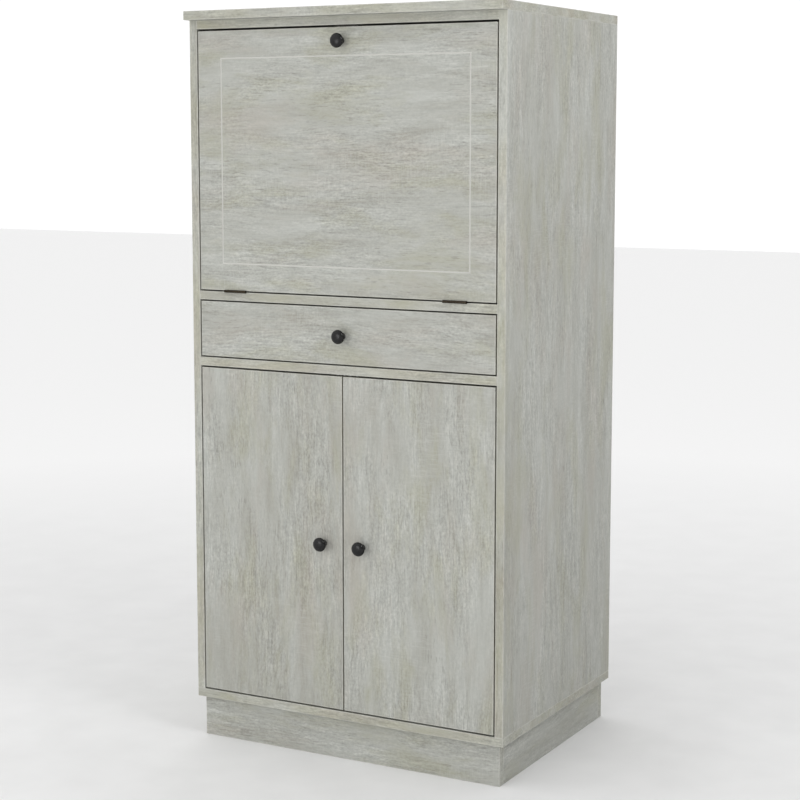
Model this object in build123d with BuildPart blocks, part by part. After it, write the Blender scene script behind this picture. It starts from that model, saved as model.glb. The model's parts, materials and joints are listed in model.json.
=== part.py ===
from build123d import *
import math
import os

# Secretary desk in laminated board: a drop-front flap over a drawer over two doors.
# X runs to the right, Y to the back and Z up. The origin is the middle of the object's box, on the floor.

# Carcass
WIDTH = 600.0
DEPTH = 450.0
HEIGHT = 1270.0
BOARD = 15.0
ARRIS = 0.5
TOP_OVERHANG = 18.0
PLINTH_HEIGHT = 71.0
PLINTH_INSET = 10.0
BACK_BOARD = 3.0
BACK_RECESS = 2.0
DIVIDER_Z = 664.5
SHELF_Z = 779.5

# Gaps round the fronts
SIDE_GAP = 2.5
FLAP_GAP = 2.5
FLAP_TOP_GAP = 3.5
DRAWER_GAP = 2.5
DOOR_GAP = 3.0
DOOR_CENTRE_GAP = 2.5

# Knobs
KNOB_REACH = 21.0
KNOB_HEAD_R = 12.0
KNOB_BASE_R = 6.0
KNOB_BORE_DEPTH = 9.0
KNOB_NECK_R = 4.1
KNOB_FOOT = 1.2
KNOB_NECK = 5.6
KNOB_COLLAR = (6.4, 9.6)
KNOB_UNDERSIDE = (9.2, 11.5)
KNOB_RIM = (12.2, 17.0)
KNOB_RIM_R = 11.3
KNOB_SCREW_R = 2.0
KNOB_SCREW_PLAY = 0.2
KNOB_SCREW_HEAD_R = 3.8
KNOB_SCREW_HEAD = 2.4
KNOB_SCREW_ROUND = 1.2
SCREW_SLOT_LENGTH = 4.0
SCREW_SLOT_WIDTH = 1.0
FLAP_KNOB_DROP = 22.5
DOOR_KNOB_X = 37.5

# Flap: its groove, butt hinges and lid stays
GROOVE_INSET = 45.0
GROOVE_WIDTH = 2.8
GROOVE_DEPTH = 1.2
HINGE_LENGTH = 43.0
HINGE_FROM_SIDE = 53.0
BARREL_R = 2.4
BARREL_PLAY = 0.55
KNUCKLE_ROOT = 0.2
HINGE_PIN_OUT = 0.4
HINGE_PIN_R = 1.2
LEAF = 1.0
LEAF_DEPTH = 20.0
KNUCKLES = 5
KNUCKLE_GAP = 0.3
STAY_RADIUS = 190.0
STAY_STUD_ANGLE = 45.0
STAY_SETBACK = 8.0
STAY_PIN_R = 2.5
STAY_WIDTH = 12.0
STAY_X = (277.0, 279.0)
STAY_END = 2.0
STAY_SLOT_PLAY = 0.1
STAY_SLOT_SPARE = 1.0
STAY_WASHER_GAP = 0.4
STAY_WASHER_R = 4.0
STUD_WASHER_R = 4.5
STUD_END_X = 275.0
STUD_BITE = 10.0
BRACKET_X = (255.0, 275.0)
BRACKET_SHEET = 2.0
BRACKET_HALF = 20.0
LUG_HALF = 8.0
LUG_DEPTH = 14.0
RIVET_X = (271.4, 280.8)
RIVET_HEAD_R = 4.4
RUNNING_GAP = 0.05

# Organiser behind the flap
ORGANIZER_Z = 1020.0
ORGANIZER_FRONT = 190.0
ORGANIZER_DIVIDER_X = 95.0
ORGANIZER_DIVIDER_SETBACK = 6.0

# Drawer and its roller runners
DRAWER_SIDE = 12.0
DRAWER_LENGTH = 380.0
DRAWER_BOX_Z = (692.0, 765.0)
DRAWER_GROOVE = 5.0
DRAWER_BOTTOM_Z = (700.0, 703.0)
RUNNER_SPACE = 12.5
RUNNER_SHEET = 1.2
RUNNER_SPAN = (18.0, 400.0)
RUNNER_LIP_START = 45.0
RUNNER_FLANGE = 10.5
RUNNER_RAIL = 16.0
RUNNER_RAIL_EDGE = 3.0
RUNNER_FOOT = 10.0
RUNNER_SETBACK = 2.0
CHANNEL_UNDER = 2.5
CHANNEL_SHORT = 1.3
FRONT_ROLLER_R = 9.0
REAR_ROLLER_R = 8.0
ROLLER_AXLE_R = 2.5
ROLLER_X = (3.0, 10.3)
ROLLER_ROUND = 0.8
FRONT_AXLE_X = (0.5, 10.9)
REAR_AXLE_X = (2.2, 12.0)
AXLE_HEAD = 1.0
FRONT_AXLE_HEAD = 0.3
REAR_AXLE_HEAD = 0.5
FRONT_ROLLER_Y = 30.0
REAR_ROLLER_Y = 385.0
RUNNER_CLEARANCE = 0.3

# Door hinges and catches
CUP_R = 17.5
CUP_DEPTH = 11.5
CUP_WALL = 0.8
CUP_FLANGE = 3.0
CUP_FLANGE_SHEET = 1.0
CUP_EAR = (6.0, 27.0)
CUP_FROM_SIDE = 25.0
CUP_FROM_END = 90.0
DOOR_PIVOT = (15.5, 7.0)
DOOR_PIN_R = 1.25
CRANK_SHEET = 2.0
CRANK_HALF = 6.0
CRANK_EYE = 1.05
CRANK_OUT = (38.0, 17.0)
CRANK_BACK = (38.0, 28.0)
CRANK_IN = (16.0, 28.0)
ARM_X = (5.0, 17.0)
ARM_DEPTH = (27.0, 85.0)
ARM_HALF = 7.0
PLATE_RISER = (5.0, 42.0, 78.0, 9.0)
PLATE_WING = (2.5, 52.0, 64.0, 24.0)
DOOR_PIN_SHORT = 0.3

# Magnetic catches and their strikes
CATCH_HEIGHT = 12.0
CATCH_GAP = 1.5
CATCH_ROUND = 1.5
FLAP_CATCH = (22.0, 15.0)
DOOR_CATCH = (24.0, 17.0)
STRIKE_SHEET = 1.0
STRIKE_DROP = 1.0
FLAP_STRIKE = (16.0, 9.5)
FLAP_STRIKE_ROUND = 2.0
DOOR_STRIKE_X = (4.0, 20.0)
DOOR_STRIKE_HEIGHT = 9.0

# Lower shelf
LOWER_SHELF_TOP = 375.0
LOWER_SHELF_FRONT = 40.0
LOWER_SHELF_PLAY = 1.0
SHELF_PIN_R = 2.5
SHELF_PIN_REACH = 8.0
SHELF_PIN_BITE = 9.0
SHELF_PIN_FLANGE = 0.8
SHELF_PIN_FLANGE_R = 4.0
SHELF_HOLE_ROWS = range(-2, 3)
SHELF_PIN_Y = (80.0, 390.0)
SHELF_HOLE_PITCH = 32.0

# Joints between boards
CAM_R = 7.5
CAM_DEPTH = 12.0
CAM_FROM_END = 24.0
CAM_Y = (60.0, 385.0)
CAM_SLOT_HALF = 4.0
CAM_SLOT_WIDE = 0.6
CAM_SLOT_DEPTH = 1.5
BACK_SCREW_X = (-210.0, -70.0, 70.0, 210.0)
BACK_SCREW_R = 1.5
BACK_SCREW_BITE = 12.0
BACK_SCREW_HEAD = 1.4
BACK_SCREW_HEAD_R = 3.2
CORNER_BLOCK = 30.0
CORNER_BLOCK_LIFT = 6.0
CORNER_BLOCK_EASE = 1.0

# Places that follow from them. Depths are measured backwards from the front face.
FRONT_Y = -(DEPTH - KNOB_REACH) / 2
HALF = WIDTH / 2
INNER = HALF - BOARD
FRONT_HALF = INNER - SIDE_GAP
FLOOR_TOP = PLINTH_HEIGHT + BOARD
SUB_TOP_Z = HEIGHT - 2 * BOARD
BACK_INNER = DEPTH - BACK_RECESS - BACK_BOARD
FLAP_Z = (SHELF_Z + BOARD + FLAP_GAP, SUB_TOP_Z - FLAP_TOP_GAP)
DRAWER_Z = (DIVIDER_Z + BOARD + DRAWER_GAP, SHELF_Z - DRAWER_GAP)
DOOR_Z = (FLOOR_TOP + DOOR_GAP, DIVIDER_Z - DOOR_GAP)
CUP_Z = (DOOR_Z[0] + CUP_FROM_END, DOOR_Z[1] - CUP_FROM_END)
FLAP_AXIS = (-BARREL_R, SHELF_Z + BOARD + FLAP_GAP / 2)
SCREW_ROWS = (SUB_TOP_Z, ORGANIZER_Z, SHELF_Z, DIVIDER_Z)
SIDES = {"left": -1, "right": 1}

os.makedirs("parts", exist_ok=True)


def at(depth):
    """The Y of a depth behind the front face."""
    return FRONT_Y + depth


def slab(x, depth, z, mode=Mode.ADD):
    """A block between its limits, which may be given in either order, in the open part."""
    middle = (sum(x) / 2, at(sum(depth) / 2), sum(z) / 2)
    with Locations(middle):
        Box(abs(x[1] - x[0]), abs(depth[1] - depth[0]), abs(z[1] - z[0]), mode=mode)


def bar(start, end, radius, mode=Mode.ADD):
    """A round bar between two points, each X, depth and Z, in the open part."""
    foot = Vector(start[0], at(start[1]), start[2])
    along = Vector(end[0], at(end[1]), end[2]) - foot
    with Locations(Plane(origin=foot, z_dir=along)):
        Cylinder(radius, along.length, align=(Align.CENTER, Align.CENTER, Align.MIN), mode=mode)


def board(x, depth, z):
    """A board with its edges eased, in the open part."""
    slab(x, depth, z)
    chamfer(edges(), ARRIS)


def save(piece, name):
    """Label a finished piece and write its file."""
    piece.part.label = name
    export_step(piece.part, f"parts/{name}.step")


def cam_pockets(underside, depths):
    """The round pockets for cams in a fixed board's underside."""
    for x in (-INNER + CAM_FROM_END, INNER - CAM_FROM_END):
        for depth in depths:
            bar((x, depth, underside), (x, depth, underside + CAM_DEPTH), CAM_R, Mode.SUBTRACT)


def back_screw_holes(underside):
    """The holes for the back board's screws in a fixed board's rear edge."""
    z = underside + BOARD / 2
    for x in BACK_SCREW_X:
        bar((x, BACK_INNER - BACK_SCREW_BITE, z), (x, BACK_INNER, z), BACK_SCREW_R, Mode.SUBTRACT)


def stud_place():
    """Depth and Z of the stay's stud, on the circle of the stay's pivot about the flap's axis."""
    angle = math.radians(STAY_STUD_ANGLE)
    return (FLAP_AXIS[0] + STAY_RADIUS * math.cos(angle), FLAP_AXIS[1] + STAY_RADIUS * math.sin(angle))


def pivot_place():
    """Depth and Z of the stay's pivot on the closed flap."""
    depth = BOARD + STAY_SETBACK
    rise = math.sqrt(STAY_RADIUS**2 - (depth - FLAP_AXIS[0]) ** 2)
    return (depth, FLAP_AXIS[1] + rise)


STUD = stud_place()
PIVOT = pivot_place()
SHELF_PIN_Z = LOWER_SHELF_TOP - BOARD - SHELF_PIN_R


# ---- Carcass ----

for side, sign in SIDES.items():
    with BuildPart() as side_panel:
        board((sign * INNER, sign * HALF), (0, DEPTH), (FLOOR_TOP, HEIGHT - BOARD))
        bar((sign * INNER, *STUD), (sign * (INNER + STUD_BITE), *STUD), STAY_PIN_R, Mode.SUBTRACT)
        for row in SHELF_HOLE_ROWS:
            z = SHELF_PIN_Z + row * SHELF_HOLE_PITCH
            for depth in SHELF_PIN_Y:
                hole_end = (sign * (INNER + SHELF_PIN_BITE), depth, z)
                bar((sign * INNER, depth, z), hole_end, SHELF_PIN_R, Mode.SUBTRACT)
    save(side_panel, f"side_panel_{side}")

with BuildPart() as top_board:
    board((-HALF, HALF), (-TOP_OVERHANG, DEPTH), (HEIGHT - BOARD, HEIGHT))
save(top_board, "top_board")

with BuildPart() as bottom_panel:
    board((-HALF, HALF), (0, DEPTH), (PLINTH_HEIGHT, FLOOR_TOP))
save(bottom_panel, "bottom_panel")

for name, underside in (("sub_top", SUB_TOP_Z), ("desk_shelf", SHELF_Z), ("drawer_divider", DIVIDER_Z)):
    with BuildPart() as fixed_board:
        board((-INNER, INNER), (0, BACK_INNER), (underside, underside + BOARD))
        cam_pockets(underside, CAM_Y)
        back_screw_holes(underside)
    save(fixed_board, name)

with BuildPart() as organizer_shelf:
    board((-INNER, INNER), (ORGANIZER_FRONT, BACK_INNER), (ORGANIZER_Z, ORGANIZER_Z + BOARD))
    cam_pockets(ORGANIZER_Z, CAM_Y[1:])
    back_screw_holes(ORGANIZER_Z)
save(organizer_shelf, "organizer_shelf")

with BuildPart() as organizer_dividers:
    for x in (-ORGANIZER_DIVIDER_X, ORGANIZER_DIVIDER_X):
        span = (x - BOARD / 2, x + BOARD / 2)
        front = ORGANIZER_FRONT + ORGANIZER_DIVIDER_SETBACK
        slab(span, (front, BACK_INNER), (ORGANIZER_Z + BOARD, SUB_TOP_Z))
    chamfer(organizer_dividers.edges(), ARRIS)
save(organizer_dividers, "organizer_dividers")

with BuildPart() as back_panel:
    slab((-INNER, INNER), (BACK_INNER, BACK_INNER + BACK_BOARD), (FLOOR_TOP, HEIGHT - BOARD))
    for underside in SCREW_ROWS:
        z = underside + BOARD / 2
        for x in BACK_SCREW_X:
            ends = ((x, BACK_INNER, z), (x, BACK_INNER + BACK_BOARD, z))
            bar(*ends, BACK_SCREW_R, Mode.SUBTRACT)
save(back_panel, "back_panel")

with BuildPart() as back_panel_screws:
    for underside in SCREW_ROWS:
        z = underside + BOARD / 2
        for x in BACK_SCREW_X:
            outside = BACK_INNER + BACK_BOARD
            bar((x, BACK_INNER - BACK_SCREW_BITE, z), (x, outside, z), BACK_SCREW_R)
            bar((x, outside, z), (x, outside + BACK_SCREW_HEAD, z), BACK_SCREW_HEAD_R)
save(back_panel_screws, "back_panel_screws")

PLINTH_X = HALF - PLINTH_INSET
PLINTH_DEPTHS = {"front": PLINTH_INSET, "back": DEPTH - PLINTH_INSET - BOARD}
for name, depth in PLINTH_DEPTHS.items():
    with BuildPart() as plinth_board:
        board((-PLINTH_X, PLINTH_X), (depth, depth + BOARD), (0, PLINTH_HEIGHT))
    save(plinth_board, f"plinth_{name}")

for side, sign in SIDES.items():
    with BuildPart() as plinth_side:
        span = (PLINTH_INSET + BOARD, DEPTH - PLINTH_INSET - BOARD)
        board((sign * (PLINTH_X - BOARD), sign * PLINTH_X), span, (0, PLINTH_HEIGHT))
    save(plinth_side, f"plinth_side_{side}")

with BuildPart() as plinth_corner_blocks:
    for sign in SIDES.values():
        for depth in (PLINTH_INSET + BOARD, DEPTH - PLINTH_INSET - BOARD - CORNER_BLOCK):
            inside = PLINTH_X - BOARD
            span = (sign * inside, sign * (inside - CORNER_BLOCK))
            slab(span, (depth, depth + CORNER_BLOCK), (CORNER_BLOCK_LIFT, PLINTH_HEIGHT))
    chamfer(plinth_corner_blocks.edges().filter_by(Axis.Z), CORNER_BLOCK_EASE)
save(plinth_corner_blocks, "plinth_corner_blocks")

CAM_ROWS = {SUB_TOP_Z: CAM_Y, SHELF_Z: CAM_Y, DIVIDER_Z: CAM_Y, ORGANIZER_Z: CAM_Y[1:]}
with BuildPart() as cam_locks:
    for underside, depths in CAM_ROWS.items():
        for x in (-INNER + CAM_FROM_END, INNER - CAM_FROM_END):
            for depth in depths:
                bar((x, depth, underside), (x, depth, underside + CAM_DEPTH), CAM_R)
                slot = (underside, underside + CAM_SLOT_DEPTH)
                for half_x, half_y in ((CAM_SLOT_HALF, CAM_SLOT_WIDE), (CAM_SLOT_WIDE, CAM_SLOT_HALF)):
                    slab((x - half_x, x + half_x), (depth - half_y, depth + half_y), slot, Mode.SUBTRACT)
save(cam_locks, "cam_locks")

with BuildPart() as adjustable_shelf:
    shelf_half = INNER - LOWER_SHELF_PLAY
    shelf_span = (LOWER_SHELF_FRONT, BACK_INNER - LOWER_SHELF_PLAY)
    board((-shelf_half, shelf_half), shelf_span, (LOWER_SHELF_TOP - BOARD, LOWER_SHELF_TOP))
save(adjustable_shelf, "adjustable_shelf")

with BuildPart() as shelf_pins:
    for sign in SIDES.values():
        for depth in SHELF_PIN_Y:
            place = (depth, SHELF_PIN_Z)
            ends = (INNER - SHELF_PIN_REACH, INNER + SHELF_PIN_BITE)
            bar((sign * ends[0], *place), (sign * ends[1], *place), SHELF_PIN_R)
            flange = (sign * (INNER - SHELF_PIN_FLANGE), *place)
            bar(flange, (sign * INNER, *place), SHELF_PIN_FLANGE_R)
save(shelf_pins, "shelf_pins")


# ---- Knobs ----


def knob(x, z, name):
    """A turned mushroom knob on the front face, and the screw that holds it from behind."""
    with BuildPart() as knob_turned:
        with BuildSketch(Plane(origin=(x, FRONT_Y, z), x_dir=(1, 0, 0), z_dir=(0, 0, 1))):
            with BuildLine():
                Polyline((0, -KNOB_REACH), (0, -KNOB_BORE_DEPTH), (KNOB_SCREW_R, -KNOB_BORE_DEPTH))
                Polyline((KNOB_SCREW_R, -KNOB_BORE_DEPTH), (KNOB_SCREW_R, 0), (KNOB_BASE_R, 0))
                Line((KNOB_BASE_R, 0), (KNOB_BASE_R, -KNOB_FOOT))
                collar = (KNOB_COLLAR[0], -KNOB_COLLAR[1])
                rim_under = (KNOB_RIM_R, -KNOB_RIM[0])
                rim_over = (KNOB_RIM_R, -KNOB_RIM[1])
                ThreePointArc((KNOB_BASE_R, -KNOB_FOOT), (KNOB_NECK_R, -KNOB_NECK), collar)
                ThreePointArc(collar, (KNOB_UNDERSIDE[0], -KNOB_UNDERSIDE[1]), rim_under)
                ThreePointArc(rim_under, (KNOB_HEAD_R, -sum(KNOB_RIM) / 2), rim_over)
                Spline(rim_over, (0, -KNOB_REACH), tangents=((-0.5, -0.85), (-1, 0)))
            make_face()
        revolve(axis=Axis((x, FRONT_Y, z), (0, 1, 0)))
    save(knob_turned, name)
    with BuildPart() as knob_screw:
        top = BOARD + KNOB_SCREW_HEAD
        bar((x, BOARD, z), (x, top, z), KNOB_SCREW_HEAD_R)
        fillet(knob_screw.faces().sort_by(Axis.Y)[-1].edges(), KNOB_SCREW_ROUND)
        bar((x, -KNOB_BORE_DEPTH, z), (x, BOARD, z), KNOB_SCREW_R)
        half = (SCREW_SLOT_LENGTH / 2, SCREW_SLOT_WIDTH / 2)
        for wide, tall in (half, half[::-1]):
            slot = (BOARD + KNOB_SCREW_HEAD / 2, top)
            slab((x - wide, x + wide), slot, (z - tall, z + tall), Mode.SUBTRACT)
    save(knob_screw, f"{name}_screw")


def knob_hole(x, z):
    """The clearance hole for a knob's screw, in the open part."""
    bar((x, 0, z), (x, BOARD, z), KNOB_SCREW_R + KNOB_SCREW_PLAY, Mode.SUBTRACT)


FLAP_KNOB_Z = FLAP_Z[1] - FLAP_KNOB_DROP
DRAWER_KNOB_Z = sum(DRAWER_Z) / 2
DOOR_KNOB_Z = sum(DOOR_Z) / 2
knob(0, FLAP_KNOB_Z, "flap_knob")
knob(0, DRAWER_KNOB_Z, "drawer_knob")
for side, sign in SIDES.items():
    knob(sign * DOOR_KNOB_X, DOOR_KNOB_Z, f"door_knob_{side}")


# ---- Flap, its hinges, stays and catch ----

FIELD_WIDTH = 2 * (FRONT_HALF - GROOVE_INSET)
FIELD_HEIGHT = FLAP_Z[1] - FLAP_Z[0] - 2 * GROOVE_INSET
GROOVE_SLOPE = math.degrees(math.atan(GROOVE_WIDTH / 2 / GROOVE_DEPTH))
GROOVE_PLANE = Plane(origin=(0, FRONT_Y, sum(FLAP_Z) / 2), x_dir=(1, 0, 0), z_dir=(0, 1, 0))

with BuildPart() as flap_panel:
    board((-FRONT_HALF, FRONT_HALF), (0, BOARD), FLAP_Z)
    # The V groove is a tapered pocket with a raised field put back inside it.
    with BuildSketch(GROOVE_PLANE):
        Rectangle(FIELD_WIDTH, FIELD_HEIGHT)
    extrude(amount=GROOVE_DEPTH, taper=GROOVE_SLOPE, mode=Mode.SUBTRACT)
    with BuildSketch(GROOVE_PLANE):
        Rectangle(FIELD_WIDTH - 2 * GROOVE_WIDTH, FIELD_HEIGHT - 2 * GROOVE_WIDTH)
    extrude(amount=GROOVE_DEPTH, taper=-GROOVE_SLOPE)
    knob_hole(0, FLAP_KNOB_Z)
save(flap_panel, "flap_panel")

HINGE_X = INNER - HINGE_FROM_SIDE - HINGE_LENGTH / 2
KNUCKLE = (HINGE_LENGTH - (KNUCKLES - 1) * KNUCKLE_GAP) / KNUCKLES
LEAF_START = BARREL_PLAY


def hinge_leaves(first_knuckle, z, bore, name):
    """One leaf of each butt hinge, with every second knuckle of its barrel."""
    with BuildPart() as leaves:
        for middle in (-HINGE_X, HINGE_X):
            start = middle - HINGE_LENGTH / 2
            slab((start, start + HINGE_LENGTH), (LEAF_START, LEAF_DEPTH), z)
            for index in range(first_knuckle, KNUCKLES, 2):
                low = start + index * (KNUCKLE + KNUCKLE_GAP)
                bar((low, *FLAP_AXIS), (low + KNUCKLE, *FLAP_AXIS), BARREL_R)
                slab((low, low + KNUCKLE), (-BARREL_R / 2, LEAF_START + KNUCKLE_ROOT), z)
        for middle in (-HINGE_X, HINGE_X):
            bar((middle - HINGE_LENGTH, *FLAP_AXIS), (middle + HINGE_LENGTH, *FLAP_AXIS), bore, Mode.SUBTRACT)
    save(leaves, name)


SHELF_TOP = SHELF_Z + BOARD
hinge_leaves(0, (SHELF_TOP, SHELF_TOP + LEAF), HINGE_PIN_R, "flap_hinge_fixed_leaves")
hinge_leaves(1, (FLAP_Z[0] - LEAF, FLAP_Z[0]), HINGE_PIN_R + RUNNING_GAP, "flap_hinge_moving_leaves")

with BuildPart() as flap_hinge_pins:
    for middle in (-HINGE_X, HINGE_X):
        pin_half = HINGE_LENGTH / 2 + HINGE_PIN_OUT
        bar((middle - pin_half, *FLAP_AXIS), (middle + pin_half, *FLAP_AXIS), HINGE_PIN_R)
save(flap_hinge_pins, "flap_hinge_pins")

STAY_CHORD = math.dist(PIVOT, STUD)
STAY_ANGLE = math.degrees(math.atan2(STUD[1] - PIVOT[1], STUD[0] - PIVOT[0]))
OPEN_SPREAD = math.degrees(math.acos((PIVOT[0] - FLAP_AXIS[0]) / STAY_RADIUS)) + 90 - STAY_STUD_ANGLE
OPEN_CHORD = 2 * STAY_RADIUS * math.sin(math.radians(OPEN_SPREAD / 2))
SLOT_SPAN = (STAY_CHORD - STAY_SLOT_SPARE, OPEN_CHORD + STAY_SLOT_SPARE)
STAY_LENGTH = SLOT_SPAN[1] + STAY_END


def along_stay(distance):
    """Y and Z of a point on the closed stay, measured from its pivot."""
    angle = math.radians(STAY_ANGLE)
    return (at(PIVOT[0] + distance * math.cos(angle)), PIVOT[1] + distance * math.sin(angle))


for side, sign in SIDES.items():
    inboard = min(sign * STAY_X[0], sign * STAY_X[1])
    with BuildPart() as stay_arm:
        with BuildSketch(Plane.YZ.offset(inboard)):
            with Locations(along_stay(STAY_LENGTH / 2)):
                SlotCenterToCenter(STAY_LENGTH, STAY_WIDTH, rotation=STAY_ANGLE)
            with Locations(along_stay(sum(SLOT_SPAN) / 2)):
                slot_width = 2 * (STAY_PIN_R + STAY_SLOT_PLAY)
                slot_length = SLOT_SPAN[1] - SLOT_SPAN[0]
                SlotCenterToCenter(slot_length, slot_width, rotation=STAY_ANGLE, mode=Mode.SUBTRACT)
            with Locations(along_stay(0)):
                Circle(STAY_PIN_R + RUNNING_GAP, mode=Mode.SUBTRACT)
        extrude(amount=STAY_X[1] - STAY_X[0])
    save(stay_arm, f"stay_arm_{side}")

with BuildPart() as stay_brackets:
    lug = (BRACKET_X[1] - BRACKET_SHEET, BRACKET_X[1])
    for sign in SIDES.values():
        plate = (sign * BRACKET_X[0], sign * BRACKET_X[1])
        slab(plate, (BOARD, BOARD + BRACKET_SHEET), (PIVOT[1] - BRACKET_HALF, PIVOT[1] + BRACKET_HALF))
        lug_x = (sign * lug[0], sign * lug[1])
        slab(lug_x, (BOARD, BOARD + LUG_DEPTH), (PIVOT[1] - LUG_HALF, PIVOT[1] + LUG_HALF))
        bar((lug_x[0], *PIVOT), (lug_x[1], *PIVOT), STAY_PIN_R, Mode.SUBTRACT)
save(stay_brackets, "stay_brackets")

ARM_FACES = (STAY_X[0] - STAY_WASHER_GAP, STAY_X[1] + STAY_WASHER_GAP)
with BuildPart() as stay_rivets:
    for sign in SIDES.values():
        bar((sign * RIVET_X[0], *PIVOT), (sign * RIVET_X[1], *PIVOT), STAY_PIN_R)
        bar((sign * RIVET_X[0], *PIVOT), (sign * lug[0], *PIVOT), STAY_WASHER_R)
        bar((sign * lug[1], *PIVOT), (sign * ARM_FACES[0], *PIVOT), STAY_WASHER_R)
        bar((sign * ARM_FACES[1], *PIVOT), (sign * RIVET_X[1], *PIVOT), RIVET_HEAD_R)
save(stay_rivets, "stay_rivets")

with BuildPart() as stay_studs:
    for sign in SIDES.values():
        bar((sign * STUD_END_X, *STUD), (sign * (INNER + STUD_BITE), *STUD), STAY_PIN_R)
        bar((sign * STUD_END_X, *STUD), (sign * ARM_FACES[0], *STUD), STUD_WASHER_R)
        bar((sign * ARM_FACES[1], *STUD), (sign * INNER, *STUD), STUD_WASHER_R)
save(stay_studs, "stay_studs")


def catch(size, ceiling):
    """A magnetic catch under a board, its half width and its rear depth given, in the open part."""
    slab((-size[0], size[0]), (BOARD + CATCH_GAP, BOARD + size[1]), (ceiling - CATCH_HEIGHT, ceiling))
    fillet(edges().filter_by(Axis.Y), CATCH_ROUND)


with BuildPart() as flap_catch:
    catch(FLAP_CATCH, SUB_TOP_Z)
save(flap_catch, "flap_catch")

with BuildPart() as flap_strike_plate:
    strike_top = FLAP_Z[1] - STRIKE_DROP
    strike_z = (strike_top - FLAP_STRIKE[1], strike_top)
    slab((-FLAP_STRIKE[0], FLAP_STRIKE[0]), (BOARD, BOARD + STRIKE_SHEET), strike_z)
    fillet(flap_strike_plate.edges().filter_by(Axis.Y), FLAP_STRIKE_ROUND)
save(flap_strike_plate, "flap_strike_plate")


# ---- Drawer and its runners ----

DRAWER_HALF = INNER - RUNNER_SPACE
DRAWER_INNER = DRAWER_HALF - DRAWER_SIDE
DRAWER_BACK = BOARD + DRAWER_LENGTH
BOTTOM_HALF = DRAWER_INNER + DRAWER_GROOVE

with BuildPart() as drawer_front:
    board((-FRONT_HALF, FRONT_HALF), (0, BOARD), DRAWER_Z)
    slab((-BOTTOM_HALF, BOTTOM_HALF), (BOARD - DRAWER_GROOVE, BOARD), DRAWER_BOTTOM_Z, Mode.SUBTRACT)
    knob_hole(0, DRAWER_KNOB_Z)
save(drawer_front, "drawer_front")

for side, sign in SIDES.items():
    with BuildPart() as drawer_side:
        board((sign * DRAWER_INNER, sign * DRAWER_HALF), (BOARD, DRAWER_BACK), DRAWER_BOX_Z)
        groove = (sign * DRAWER_INNER, sign * BOTTOM_HALF)
        slab(groove, (BOARD, DRAWER_BACK), DRAWER_BOTTOM_Z, Mode.SUBTRACT)
    save(drawer_side, f"drawer_side_{side}")

with BuildPart() as drawer_back:
    back_span = (DRAWER_BACK - DRAWER_SIDE, DRAWER_BACK)
    board((-DRAWER_INNER, DRAWER_INNER), back_span, (DRAWER_BOTTOM_Z[1], DRAWER_BOX_Z[1]))
save(drawer_back, "drawer_back")

with BuildPart() as drawer_bottom:
    slab((-BOTTOM_HALF, BOTTOM_HALF), (BOARD - DRAWER_GROOVE, DRAWER_BACK), DRAWER_BOTTOM_Z)
save(drawer_bottom, "drawer_bottom")

RAIL_TOP = DRAWER_BOX_Z[0] + RUNNER_RAIL
RAIL_UNDER = RAIL_TOP - RUNNER_SHEET
FRONT_ROLLER_Z = RAIL_UNDER - RUNNER_CLEARANCE - FRONT_ROLLER_R
CHANNEL_FLOOR = FRONT_ROLLER_Z - FRONT_ROLLER_R - CHANNEL_UNDER
CHANNEL_CEILING = FRONT_ROLLER_Z + FRONT_ROLLER_R - CHANNEL_SHORT
CHANNEL_Z = (CHANNEL_FLOOR, CHANNEL_CEILING)
REAR_ROLLER_Z = CHANNEL_Z[0] + RUNNER_SHEET + RUNNER_CLEARANCE + REAR_ROLLER_R


def inward(sign, distance):
    """The X at a distance in from a side panel's inner face."""
    return sign * (INNER - distance)


def reach(sign, span):
    """A pair of such X values."""
    return (inward(sign, span[0]), inward(sign, span[1]))


for side, sign in SIDES.items():
    with BuildPart() as runner_cabinet:
        slab(reach(sign, (0, RUNNER_SHEET)), RUNNER_SPAN, CHANNEL_Z)
        flange = reach(sign, (0, RUNNER_FLANGE))
        slab(flange, RUNNER_SPAN, (CHANNEL_FLOOR, CHANNEL_FLOOR + RUNNER_SHEET))
        lip = (RUNNER_LIP_START, RUNNER_SPAN[1])
        slab(flange, lip, (CHANNEL_CEILING - RUNNER_SHEET, CHANNEL_CEILING))
        slab(flange, (RUNNER_SPAN[1] - RUNNER_SHEET, RUNNER_SPAN[1]), CHANNEL_Z)
        axle = (FRONT_ROLLER_Y, FRONT_ROLLER_Z)
        ends = reach(sign, FRONT_AXLE_X)
        bar((ends[0], *axle), (ends[1], *axle), ROLLER_AXLE_R)
        head = inward(sign, FRONT_AXLE_X[1] - FRONT_AXLE_HEAD)
        bar((head, *axle), (ends[1], *axle), ROLLER_AXLE_R + AXLE_HEAD)
    save(runner_cabinet, f"runner_cabinet_{side}")
    with BuildPart() as runner_drawer:
        length = (BOARD + RUNNER_SETBACK, DRAWER_BACK)
        web = (RUNNER_SPACE - RUNNER_SHEET, RUNNER_SPACE)
        foot = (DRAWER_BOX_Z[0] - RUNNER_SHEET, DRAWER_BOX_Z[0])
        slab(reach(sign, web), length, (foot[0], RAIL_TOP))
        slab(reach(sign, (web[0], RUNNER_SPACE + RUNNER_FOOT)), length, foot)
        slab(reach(sign, (RUNNER_RAIL_EDGE, RUNNER_SPACE)), length, (RAIL_UNDER, RAIL_TOP))
        axle = (REAR_ROLLER_Y, REAR_ROLLER_Z)
        ends = reach(sign, REAR_AXLE_X)
        bar((ends[0], *axle), (ends[1], *axle), ROLLER_AXLE_R)
        head = inward(sign, REAR_AXLE_X[0] + REAR_AXLE_HEAD)
        bar((ends[0], *axle), (head, *axle), ROLLER_AXLE_R + AXLE_HEAD)
    save(runner_drawer, f"runner_drawer_{side}")

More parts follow.
